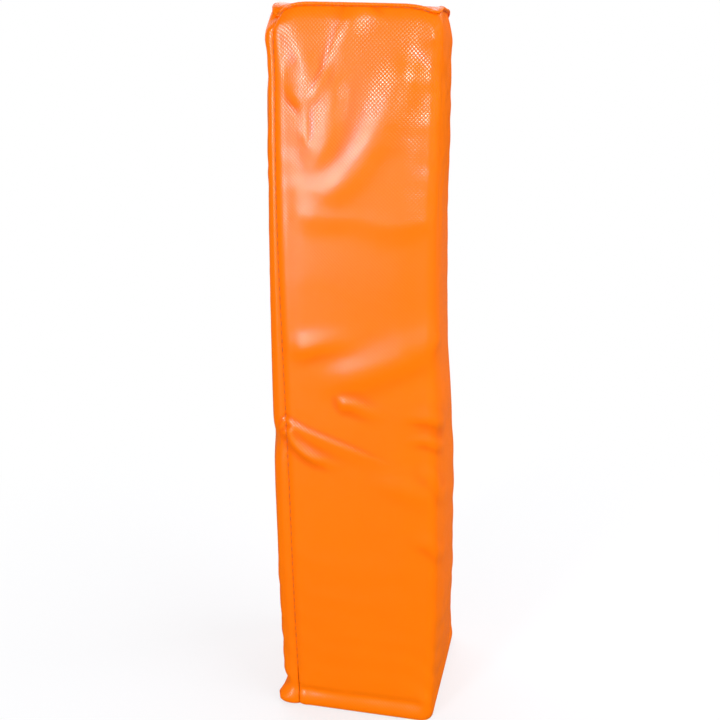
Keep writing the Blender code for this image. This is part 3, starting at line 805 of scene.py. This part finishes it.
def calculate(tree, operation, first, second=0.0, third=0.0):
    """Output of one Math node."""
    node = add_node(tree, "ShaderNodeMath", {0: first, 1: second, 2: third}, operation=operation)
    return node.outputs[0]


def noise(tree, place, scale, detail=2.0, roughness=0.5):
    """Output of a noise texture whose scale is in patterns per metre."""
    inputs = {"Vector": place, "Scale": scale, "Detail": detail, "Roughness": roughness}
    return add_node(tree, "ShaderNodeTexNoise", inputs).outputs["Fac"]


def mixed_colour(tree, share, first, second):
    """Colour output that goes from the first colour to the second."""
    node = add_node(tree, "ShaderNodeMix", {0: share, 6: first, 7: second}, data_type="RGBA")
    return node.outputs[2]


def ranged(tree, value, low, high, new_low, new_high):
    """Value moved from one range to another, held within it."""
    inputs = {"Value": value, "From Min": low, "From Max": high, "To Min": new_low, "To Max": new_high}
    return add_node(tree, "ShaderNodeMapRange", inputs).outputs["Result"]


def bump_normal(tree, height, distance, normal=None):
    """Normal output of a bump whose height of one is the distance in metres."""
    inputs = {"Height": height, "Distance": distance, "Strength": 1.0}
    if normal:
        inputs["Normal"] = normal
    return add_node(tree, "ShaderNodeBump", inputs).outputs["Normal"]


# Threads of the cloth under the coating: spacing across and along, and how far a crown stands up
THREAD_ACROSS = 1.06 * MM
THREAD_ALONG = 1.09 * MM
CROWN_HEIGHT = 0.026 * MM

# Finish of the coating: patches and grain per metre, and its roughness and gloss in the weave's hollows and
# on its crowns
VINYL_PATCHES = 14.0
VINYL_GRAIN = 160.0
GRAIN_DEPTH = 0.06 * MM
VINYL_ROUGHNESS = (0.5, 0.17)
VINYL_GLOSS = (0.04, 0.9)
VINYL_IOR = 1.5
# Shares of painted shade: darker orange painted into the wrinkles' creases and into the weave's hollows
CREASE_SHADE_SHARE = 0.6
HOLLOW_SHADE_SHARE = 0.3
WORN_GLOSS_SHARE = 0.7


def weave_height(tree, place):
    """Crowns of a plain weave on a checker lattice, from minus one to one."""
    parts = add_node(tree, "ShaderNodeSeparateXYZ", {0: place})
    waves = []
    for axis, spacing in ((0, THREAD_ACROSS), (1, THREAD_ALONG)):
        turns = calculate(tree, "MULTIPLY", parts.outputs[axis], math.pi / spacing)
        waves.append(calculate(tree, "SINE", turns))
    return calculate(tree, "MULTIPLY", waves[0], waves[1])


def make_vinyl():
    """Orange PVC coating over woven cloth: deep plain orange with painted shade in its creases and in the
    weave's hollows, and a gloss that picks out the weave's crowns.
    """
    material, tree, shader = new_material("coated_vinyl")
    cloth = add_node(tree, "ShaderNodeUVMap", uv_map="cloth").outputs["UV"]
    place = add_node(tree, "ShaderNodeTexCoord").outputs["Object"]
    broad = noise(tree, place, VINYL_PATCHES, 2.0)
    fine = noise(tree, place, VINYL_GRAIN, 3.0)
    plain = mixed_colour(tree, broad, colour("#FF7400"), colour("#FF7D00"))
    # Painted shade: the crease mask darkens the orange in the wrinkles' creases, where shade falls
    crease = add_node(tree, "ShaderNodeAttribute", attribute_name="crease").outputs["Fac"]
    height = weave_height(tree, cloth)
    # Painted shade in the weave's hollows: the lower the weave, the darker the orange
    painted_weave_shade = ranged(tree, height, -0.5, 0.5, HOLLOW_SHADE_SHARE, 0.0)
    painted_shade = calculate(tree, "MULTIPLY_ADD", crease, CREASE_SHADE_SHARE, painted_weave_shade)
    orange_with_painted_shade = mixed_colour(tree, painted_shade, plain, colour("#F26500"))
    tree.links.new(orange_with_painted_shade, shader.inputs["Base Color"])
    polish = ranged(tree, height, 0.0, 0.5, 0.0, 1.0)
    worn = calculate(tree, "MULTIPLY", polish, ranged(tree, fine, 0.3, 0.7, 1.0, WORN_GLOSS_SHARE))
    tree.links.new(ranged(tree, worn, 0.0, 1.0, *VINYL_ROUGHNESS), shader.inputs["Roughness"])
    tree.links.new(ranged(tree, worn, 0.0, 1.0, *VINYL_GLOSS), shader.inputs["Specular IOR Level"])
    weave = bump_normal(tree, height, CROWN_HEIGHT)
    grain = bump_normal(tree, fine, GRAIN_DEPTH, weave)
    tree.links.new(grain, shader.inputs["Normal"])
    shader.inputs["IOR"].default_value = VINYL_IOR
    return material


# Finish of the thread: its twist per metre, and how deep that is
THREAD_TWIST = 2500.0
TWIST_DEPTH = 0.05 * MM
THREAD_ROUGHNESS = 0.6


def make_thread():
    """Bonded polyester thread: a darker, duller orange with a fine twist."""
    material, tree, shader = new_material("bonded_thread")
    place = add_node(tree, "ShaderNodeTexCoord").outputs["Object"]
    strands = noise(tree, place, THREAD_TWIST, 1.0)
    tone = mixed_colour(tree, strands, colour("#C8560A"), colour("#DC660E"))
    tree.links.new(tone, shader.inputs["Base Color"])
    tree.links.new(bump_normal(tree, strands, TWIST_DEPTH), shader.inputs["Normal"])
    shader.inputs["Roughness"].default_value = THREAD_ROUGHNESS
    return material


# Slightly cool light, as its highlights show
LAMP_COLOUR = (0.98, 1.0, 1.08)


def add_light(name, azimuth, elevation, distance, size, radiance, target_height=0.3, mirrored=True,
              scattered=True):
    """Soft lamp that faces the pylon: degrees, with azimuth from the front towards the right, and metres."""
    lamp = bpy.data.lights.new(name, "AREA")
    lamp.shape = "RECTANGLE"
    lamp.size = size[0]
    lamp.size_y = size[1]
    lamp.energy = radiance * math.pi * size[0] * size[1]
    lamp.color = LAMP_COLOUR
    item = bpy.data.objects.new(name, lamp)
    turn = math.radians(azimuth)
    rise = math.radians(elevation)
    away = Vector((math.sin(turn) * math.cos(rise), -math.cos(turn) * math.cos(rise), math.sin(rise)))
    item.location = Vector((0.0, 0.0, target_height)) + away * distance
    item.rotation_euler = away.to_track_quat("Z", "Y").to_euler()
    item.visible_camera = False
    item.visible_glossy = mirrored
    item.visible_diffuse = scattered
    bpy.context.scene.collection.objects.link(item)


def make_lights():
    """Tall bright softbox at the left, dim panel low in front, bright softbox at the upper right, and fills.

    The right fill isn't mirrored and the upper softbox is only mirrored, as the photograph's tones ask.
    """
    add_light("key_softbox", -25, 0.7, 2.0, (0.36, 0.78), 37.0, 0.44)
    add_light("front_panel", -9.5, -4.5, 1.15, (0.3, 0.28), 4.8, 0.4)
    add_light("upper_softbox", 17, 11, 1.6, (0.44, 0.3), 38.0, 0.3, scattered=False)
    add_light("right_fill", 80, 12, 1.8, (2.4, 2.2), 3.3, mirrored=False)
    add_light("left_fill", -145, 30, 1.9, (2.0, 2.0), 1.8)
    add_light("back_fill", 170, 38, 2.0, (2.0, 1.4), 1.7)


# Strength of the world's light on everything, and of what reflections see of it behind the pylon
WORLD_LEVEL = 0.2
WORLD_MIRRORED = 0.08


def make_world():
    """White to the camera, dim behind the pylon to its reflections, and a dim even light on everything."""
    world = bpy.data.worlds.new("studio")
    world.use_nodes = True
    tree = world.node_tree
    background = tree.nodes["Background"]
    way = add_node(tree, "ShaderNodeTexCoord").outputs["Generated"]
    depth = add_node(tree, "ShaderNodeSeparateXYZ", {0: way}).outputs[1]
    behind = ranged(tree, depth, 0.0, 0.35, 0.0, WORLD_MIRRORED)
    rays = add_node(tree, "ShaderNodeLightPath").outputs
    glossy = calculate(tree, "MULTIPLY", rays["Is Glossy Ray"], behind)
    diffuse = calculate(tree, "MULTIPLY", rays["Is Diffuse Ray"], WORLD_LEVEL)
    total = calculate(tree, "ADD", glossy, diffuse)
    total = calculate(tree, "ADD", total, rays["Is Camera Ray"])
    tree.links.new(total, background.inputs["Strength"])
    background.inputs["Color"].default_value = (1.0, 1.0, 1.0, 1.0)
    bpy.context.scene.world = world


# Floor, in metres, and how its own pale tone with the shadow gives way to white away from the pylon
FLOOR_SIZE = 30.0
FLOOR_GAP = 0.2 * MM
WHITE_START = 0.12
WHITE_END = 0.5
WHITE_NEAR_SHARE = 0.7


def make_floor():
    """Plain floor: white to the camera, with a faint shadow of the pylon, and grey to everything else."""
    material = bpy.data.materials.new("studio_floor")
    material.use_nodes = True
    tree = material.node_tree
    tree.nodes.remove(tree.nodes["Principled BSDF"])
    rays = add_node(tree, "ShaderNodeLightPath").outputs
    place = add_node(tree, "ShaderNodeTexCoord").outputs["Object"]
    depth = add_node(tree, "ShaderNodeSeparateXYZ", {0: place}).outputs[1]
    behind = ranged(tree, depth, -0.05, 0.15, 0.0, 1.0)
    sweep = mixed_colour(tree, behind, colour("#4C4C4C"), colour("#606060"))
    tone = mixed_colour(tree, rays["Is Camera Ray"], sweep, colour("#F2F2F2"))
    matt = add_node(tree, "ShaderNodeBsdfDiffuse", {"Color": tone})
    white = add_node(tree, "ShaderNodeEmission", {"Color": (1.0, 1.0, 1.0, 1.0), "Strength": 1.0})
    away = add_node(tree, "ShaderNodeVectorMath", {0: place}, operation="LENGTH").outputs["Value"]
    paling = ranged(tree, away, WHITE_START, WHITE_END, WHITE_NEAR_SHARE, 1.0)
    share = calculate(tree, "MULTIPLY", rays["Is Camera Ray"], paling)
    both = add_node(tree, "ShaderNodeMixShader", {0: share, 1: matt.outputs[0], 2: white.outputs[0]})
    tree.links.new(both.outputs[0], tree.nodes["Material Output"].inputs["Surface"])
    bpy.ops.mesh.primitive_plane_add(size=FLOOR_SIZE, location=(0.0, 0.0, -FLOOR_GAP))
    floor = bpy.context.object
    floor.name = "floor"
    floor.data.materials.append(material)


# Camera from a fit to the pylon's outline in the photograph: millimetres, degrees and pixels
CAMERA_PLACE = (110.2, -605.3, 447.0)
CAMERA_YAW = -10.86
CAMERA_PITCH = 18.75
CAMERA_ROLL = -0.28
FOCAL_PIXELS = 984
PHOTO_PIXELS = 720
SENSOR_WIDTH = 36.0
NEAREST_SEEN = 10.0 * MM


def make_camera():
    """Camera at the photograph's place, with its viewing angle."""
    lens = bpy.data.cameras.new("camera")
    lens.sensor_width = SENSOR_WIDTH
    lens.lens = FOCAL_PIXELS / PHOTO_PIXELS * SENSOR_WIDTH
    lens.clip_start = NEAREST_SEEN
    camera = bpy.data.objects.new("camera", lens)
    yaw = Matrix.Rotation(math.radians(-CAMERA_YAW), 4, "Z")
    pitch = Matrix.Rotation(math.radians(90 - CAMERA_PITCH), 4, "X")
    roll = Matrix.Rotation(math.radians(CAMERA_ROLL), 4, "Z")
    camera.matrix_world = Matrix.Translation(Vector(CAMERA_PLACE) * MM) @ yaw @ pitch @ roll
    bpy.context.scene.collection.objects.link(camera)
    bpy.context.scene.camera = camera


# Stitches: thread radius, how deep the ends sink, how the lengths differ, and where the upright row runs
THREAD_RADIUS = 0.26
STITCH_SINK = 0.25
STITCH_SIZES = (0.9, 1.08)
STITCH_SEED = 7
STITCH_STAND = 0.15
SIDE_STITCH_FOOT = 33.0
SIDE_STITCH_HEAD = LIP_HEIGHT - 14
TOP_STITCH_HEIGHT = WALL_TOP + 0.05
BOTTOM_STITCH_HEIGHT = 0.5


def named_vector(tree, name):
    """Output of a vector that each point carries under a name."""
    node = add_node(tree, "GeometryNodeInputNamedAttribute", {"Name": name}, data_type="FLOAT_VECTOR")
    return node.outputs[0]


def stitch_tree():
    """Geometry nodes that lay one short bent thread on every point of a row of stitches."""
    tree = bpy.data.node_groups.new("row_of_stitches", "GeometryNodeTree")
    sockets = (
        ("Geometry", "NodeSocketGeometry"),
        ("Length", "NodeSocketFloat"),
        ("Thread", "NodeSocketFloat"),
        ("Sink", "NodeSocketFloat"),
        ("Seed", "NodeSocketInt"),
        ("Material", "NodeSocketMaterial"),
    )
    for name, kind in sockets:
        tree.interface.new_socket(name, in_out="INPUT", socket_type=kind)
    tree.interface.new_socket("Geometry", in_out="OUTPUT", socket_type="NodeSocketGeometry")
    given = tree.nodes.new("NodeGroupInput").outputs
    half = calculate(tree, "MULTIPLY", given["Length"], 0.5)
    back = calculate(tree, "MULTIPLY", half, -1.0)
    down = calculate(tree, "MULTIPLY", given["Sink"], -1.0)
    start = add_node(tree, "ShaderNodeCombineXYZ", {0: back, 2: down}).outputs[0]
    end = add_node(tree, "ShaderNodeCombineXYZ", {0: half, 2: down}).outputs[0]
    middle = add_node(tree, "ShaderNodeCombineXYZ", {2: given["Sink"]}).outputs[0]
    arc = add_node(tree, "GeometryNodeCurveQuadraticBezier",
                   {"Resolution": 6, "Start": start, "Middle": middle, "End": end}).outputs[0]
    section = {"Resolution": 6, "Radius": given["Thread"]}
    profile = add_node(tree, "GeometryNodeCurvePrimitiveCircle", section).outputs[0]
    strand = add_node(tree, "GeometryNodeCurveToMesh",
                      {"Curve": arc, "Profile Curve": profile, "Fill Caps": True}).outputs[0]
    along = named_vector(tree, "along")
    outward = named_vector(tree, "outward")
    facing = add_node(tree, "FunctionNodeAxesToRotation", {"Primary Axis": outward, "Secondary Axis": along},
                      primary_axis="Z", secondary_axis="X").outputs[0]
    smallest, largest = STITCH_SIZES
    chance = {2: smallest, 3: largest, "Seed": given["Seed"]}
    size = add_node(tree, "FunctionNodeRandomValue", chance).outputs[1]
    laid = add_node(tree, "GeometryNodeInstanceOnPoints", {"Points": given["Geometry"], "Instance": strand,
                                                           "Rotation": facing, "Scale": size}).outputs[0]
    real = add_node(tree, "GeometryNodeRealizeInstances", {"Geometry": laid}).outputs[0]
    finish = {"Geometry": real, "Material": given["Material"]}
    dressed = add_node(tree, "GeometryNodeSetMaterial", finish).outputs[0]
    leave = tree.nodes.new("NodeGroupOutput")
    tree.links.new(dressed, leave.inputs["Geometry"])
    return tree


def make_stitches(name, places, along, outward, material, tree):
    """Row of stitches at the places in millimetres, as one plain mesh."""
    mesh = bpy.data.meshes.new(name + "_places")
    mesh.from_pydata((places * MM).tolist(), [], [])
    for label, vectors in (("along", along), ("outward", outward)):
        attribute = mesh.attributes.new(label, "FLOAT_VECTOR", "POINT")
        attribute.data.foreach_set("vector", vectors.astype(np.float32).ravel())
    host = bpy.data.objects.new(name + "_places", mesh)
    bpy.context.scene.collection.objects.link(host)
    rows = host.modifiers.new("stitches", "NODES")
    rows.node_group = tree
    values = {"Length": STITCH_LENGTH * MM, "Thread": THREAD_RADIUS * MM, "Sink": STITCH_SINK * MM,
              "Seed": STITCH_SEED, "Material": material}
    for socket in tree.interface.items_tree:
        if socket.in_out == "INPUT" and socket.name in values:
            rows[socket.identifier] = values[socket.name]
    shown = host.evaluated_get(bpy.context.evaluated_depsgraph_get())
    data = bpy.data.meshes.new_from_object(shown)
    data.name = name
    data.shade_smooth()
    piece = bpy.data.objects.new(name, data)
    bpy.context.scene.collection.objects.link(piece)
    bpy.data.objects.remove(host, do_unlink=True)
    return piece


def unit(vectors):
    """Vectors brought to a length of one."""
    return vectors / np.linalg.norm(vectors, axis=-1, keepdims=True)


def surface_frame(run, height, stand):
    """Place, outward direction, direction round the outline and direction up at a point of the cover."""
    step = 0.5
    here = cover_point(run, height, stand)
    outward = unit(cover_point(run, height, stand + step) - here)
    round_way = unit(cover_point(run + step, height, stand) - here)
    up_way = unit(cover_point(run, height + step, stand) - here)
    return here, outward, round_way, up_way


def make_side_stitches(material, tree):
    """Stitches down in the groove of the upright seam."""
    height = np.arange(SIDE_STITCH_FOOT, SIDE_STITCH_HEAD, STITCH_PITCH)
    run = seam_run(height)
    stand = cover_stand(run, height) + STITCH_STAND
    here, outward, _, up_way = surface_frame(run, height, stand)
    return make_stitches("side_seam_stitches", here, up_way, outward, material, tree)


def make_ring_stitches(name, height, stand, material, tree):
    """Stitches once round in the valley between a panel and the wrap."""
    count = round(OUTLINE_RUN / STITCH_PITCH)
    run = (np.arange(count) + 0.5) / count * OUTLINE_RUN
    run = run[run_from_corner(run) > CORNER_RUN / 2]
    here, outward, round_way, _ = surface_frame(run, height + 0 * run, stand + 0 * run)
    return make_stitches(name, here, round_way, outward, material, tree)


PLAIN_SHADE_SHARE = 0.6


def plain_material(name, code, roughness, bump_scale, bump_depth):
    """Simple material with a grainy surface, for the pieces inside."""
    material, tree, shader = new_material(name)
    place = add_node(tree, "ShaderNodeTexCoord").outputs["Object"]
    grains = noise(tree, place, bump_scale, 3.0, 0.6)
    dark = tuple(part * PLAIN_SHADE_SHARE for part in colour(code)[:3]) + (1.0,)
    tree.links.new(mixed_colour(tree, grains, dark, colour(code)), shader.inputs["Base Color"])
    tree.links.new(bump_normal(tree, grains, bump_depth * MM), shader.inputs["Normal"])
    shader.inputs["Roughness"].default_value = roughness
    return material


# Foam block: how far its sides stand inside the outline, the heights between which that changes, the bends
# under its top as (inset, distance from the top), and its gaps round the pouch
FOAM_END_INSET = 5.9
FOAM_NECK_INSET = 3.2
FOAM_SIDE_INSET = 3.0
FOAM_TOP_INSET = 9.0
FOAM_FOOT = (8.0, 22.0)
FOAM_SIDES = (30.0, 425.0)
FOAM_HEAD = (431.0, 443.0)
FOAM_TOP_BENDS = ((5.9, 3.0), (7.0, 1.0))
FOAM_CELL = 12.0
FOAM_SIZE_SHARE = 0.9999
POCKET_HEAD_GAP = 2.0
POCKET_SIDE_GAP = 0.3


def make_foam(material):
    """Foam block with drawn-in ends and soft edges, open at the foot for the pouch."""
    base = FOAM_BOX[0][2] / MM
    top = FOAM_BOX[1][2] / MM
    pocket = (LID_BOX[1][2] / MM) + POCKET_HEAD_GAP
    pocket_scale = (POUCH_BOX[1][0] / MM + POCKET_SIDE_GAP) / HALF_WIDTH
    rings = [(0.0, pocket, pocket_scale * share) for share in (0.0, 0.5, 0.9, 1.0)]
    rings += [(0.0, mix(pocket, base, share), pocket_scale) for share in (0.25, 0.5, 0.75, 1.0)]
    sides = [(-FOAM_END_INSET, base), (-FOAM_END_INSET, FOAM_FOOT[0]), (-FOAM_NECK_INSET, FOAM_FOOT[1])]
    runs = ring_runs()
    for height in stepped(*FOAM_SIDES, FOAM_CELL):
        sides.append((soft_corners(runs, height) + corner_relief(runs, height) - FOAM_SIDE_INSET, height))
    sides += [(-FOAM_NECK_INSET, FOAM_HEAD[0]), (-FOAM_END_INSET, FOAM_HEAD[1])]
    sides += [(-inset, top - below) for inset, below in FOAM_TOP_BENDS]
    rings += [(stand, height, FOAM_SIZE_SHARE) for stand, height in sides]
    rings += [(-FOAM_TOP_INSET, top, share) for share in (FOAM_SIZE_SHARE, 0.7, 0.4, 0.0)]
    return loft("foam_block", rings, material)


# Sand pouch: its flat foot as shares of its wall's width, the bends over its foot, the flange round its rim
# and the crowned lid over that, each as (distance up, share of the wall's width)
FLANGE_WIDTH = 3.3
FLANGE_FOOT = -0.3
FLANGE_TOP = 0.6
POUCH_FLAT_SHARES = (0.0, 0.5, 0.85)
POUCH_FOOT = ((1.5, 0.95), (5.0, 1.0))
POUCH_LID_FOOT = ((0.9, 1.0), (3.5, 0.94))
POUCH_LID_TOP = ((-0.6, 0.8), (0.0, 0.45), (0.0, 0.0))


def make_pouch(material):
    """Sand pouch: a deep pillow with welded flanges round its rim and a crowned lid."""
    half = POUCH_BOX[1][0] / MM
    flange = half / HALF_WIDTH
    wall = (half - FLANGE_WIDTH) / HALF_WIDTH
    base = POUCH_BOX[0][2] / MM
    rim = POUCH_BOX[1][2] / MM
    top = LID_BOX[1][2] / MM
    bend = base + POUCH_FOOT[-1][0]
    rings = [(0.0, base, wall * share) for share in POUCH_FLAT_SHARES]
    rings += [(0.0, base + up, wall * share) for up, share in POUCH_FOOT]
    rings += [(0.0, mix(bend, rim - 1.0, share), wall) for share in (0.33, 0.66, 1.0)]
    rings += [(0.0, rim + FLANGE_FOOT, flange), (0.0, rim + FLANGE_TOP, flange)]
    rings += [(0.0, rim + up, wall * share) for up, share in POUCH_LID_FOOT]
    rings += [(0.0, top + up, wall * share) for up, share in POUCH_LID_TOP]
    return loft("sand_pouch", rings, material)


# Sand: its flat foot as shares of its width, and the bends over its foot and under its top as (distance up,
# share of its width)
SAND_FLAT_SHARES = (0.0, 0.5, 0.85)
SAND_FOOT = 4.0
SAND_TOP = ((-7.0, 1.0), (-2.0, 0.9), (-0.3, 0.6), (0.0, 0.0))


def make_sand(material):
    """Sand that fills the pouch."""
    size = SAND_BOX[1][0] / MM / HALF_WIDTH
    base = SAND_BOX[0][2] / MM
    top = SAND_BOX[1][2] / MM
    rings = [(0.0, base, size * share) for share in SAND_FLAT_SHARES]
    rings += [(0.0, base + SAND_FOOT, size)]
    rings += [(0.0, top + up, size * share) for up, share in SAND_TOP]
    return loft("sand_fill", rings, material)


def declare(piece, nodes):
    """Attach a finished piece to the root body and hide the CAD parts that it stands for."""
    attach(piece, "root")
    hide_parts(*nodes)


def main():
    make_camera()
    make_world()
    make_floor()
    make_lights()
    vinyl = make_vinyl()
    thread = make_thread()
    tree = stitch_tree()
    simulate_sleeve()
    declare(make_cover(vinyl), ["cover_wrap"])
    declare(make_top_panel(vinyl), ["top_panel"])
    declare(make_bottom_panel(vinyl), ["bottom_panel"])
    declare(make_side_stitches(thread, tree), ["side_seam_thread"])
    top = make_ring_stitches("top_seam_stitches", TOP_STITCH_HEIGHT, -TOP_LIP_INSET, thread, tree)
    declare(top, ["top_seam_thread"])
    bottom = make_ring_stitches("bottom_seam_stitches", BOTTOM_STITCH_HEIGHT, -FOLD_DEPTH, thread, tree)
    declare(bottom, ["bottom_seam_thread"])
    foam = plain_material("open_cell_foam", "#E6DDC0", 0.95, 900.0, 0.4)
    declare(make_foam(foam), ["foam_core"])
    film = plain_material("woven_film", "#DCDCD8", 0.5, 500.0, 0.1)
    declare(make_pouch(film), ["ballast_pouch_body", "ballast_pouch_lid"])
    sand = plain_material("dry_sand", "#B89B74", 0.95, 1500.0, 0.3)
    declare(make_sand(sand), ["ballast_sand"])
    bpy.context.scene.view_settings.view_transform = "Standard"


main()
